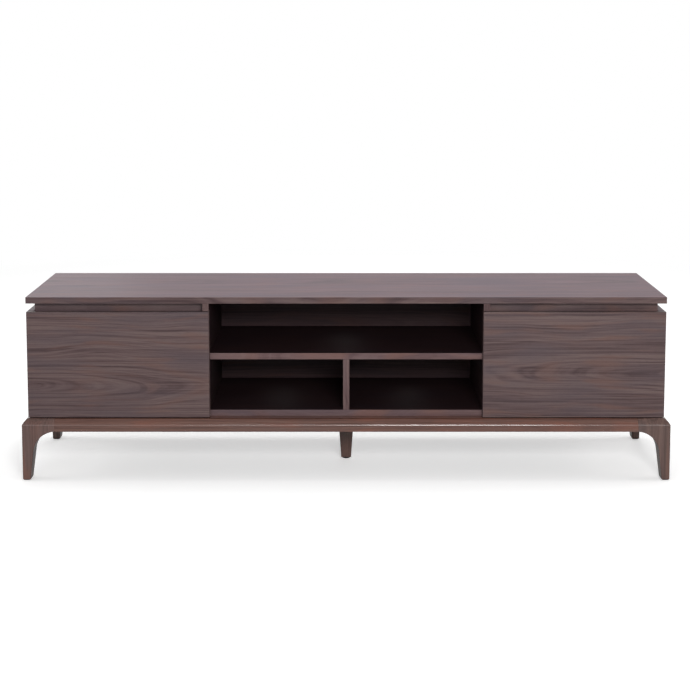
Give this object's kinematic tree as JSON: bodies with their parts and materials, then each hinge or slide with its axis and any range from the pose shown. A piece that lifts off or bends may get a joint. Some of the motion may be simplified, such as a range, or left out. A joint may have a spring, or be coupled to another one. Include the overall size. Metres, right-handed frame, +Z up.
{
  "type": "tv stand with doors",
  "caption": "Low wide media cabinet with two hinged side doors, an open centre with a shelf and divider, a floating top and a base frame on sculpted corner legs.",
  "frame": {"origin": "on the floor, under the middle of the cabinet", "axes": "+X to the right along the width, -Y towards the viewer in front of the doors, +Z up"},
  "size_m": [1.83, 0.43, 0.523],
  "materials": {
    "veneer": "satin lacquered walnut veneer, grain along the width",
    "door_veneer": "satin lacquered walnut veneer, grain running sideways",
    "neck": "dark stained, satin",
    "back_board": "dark stained hardboard, matt",
    "solid_wood": "satin lacquered solid wood, grain along each rail",
    "leg_wood": "satin lacquered solid wood, upright grain",
    "pale_wood": "raw birch",
    "steel": "nickel plated, satin",
    "rubber": "matt",
    "glide": "matt nylon"
  },
  "bodies": {
    "cabinet": {"top_panel": "veneer", "bottom_panel": "veneer", "side_panel_left": "veneer", "side_panel_right": "veneer", "partition_left": "veneer", "partition_right": "veneer", "centre_shelf": "veneer", "centre_divider": "veneer", "inner_shelf_left": "veneer", "inner_shelf_right": "veneer", "sub_top_left": "veneer", "sub_top_right": "veneer", "neck_front_left": "neck", "neck_front_right": "neck", "neck_side_left": "neck", "neck_side_right": "neck", "back_panel": "back_board", "front_rail": "solid_wood", "rear_rail": "solid_wood", "side_rail_left": "solid_wood", "side_rail_right": "solid_wood", "centre_stretcher": "solid_wood", "centre_leg": "solid_wood", "front_leg_left": "leg_wood", "front_leg_right": "leg_wood", "rear_leg_left": "leg_wood", "rear_leg_right": "leg_wood", "carcass_dowels": "pale_wood", "frame_dowels": "pale_wood", "corner_blocks": "pale_wood", "back_screws": "steel", "shelf_supports": "steel", "centre_leg_bolt": "steel", "frame_screws": "steel", "hinge_arms_left": "steel", "hinge_arms_right": "steel", "hinge_plates_left": "steel", "hinge_plates_right": "steel", "hinge_plate_screws": "steel", "hinge_arm_screws": "steel", "door_bumpers": "rubber", "foot_glides": "glide", "levelling_foot": "glide"},
    "door_left": {"door_panel_left": "door_veneer", "hinge_cups_left": "steel", "hinge_pins_left": "steel", "cup_screws_left": "steel"},
    "door_right": {"door_panel_right": "door_veneer", "hinge_cups_right": "steel", "hinge_pins_right": "steel", "cup_screws_right": "steel"}
  },
  "joints": [
    {"name": "door_left_hinge", "type": "hinge", "parent": "cabinet", "child": "door_left", "pos_m": [-0.891, -0.1905, 0.33], "axis": [0, 0, -1], "range_deg": [0, 95]},
    {"name": "door_right_hinge", "type": "hinge", "parent": "cabinet", "child": "door_right", "pos_m": [0.891, -0.1905, 0.33], "axis": [0, 0, 1], "range_deg": [0, 95]}
  ]
}
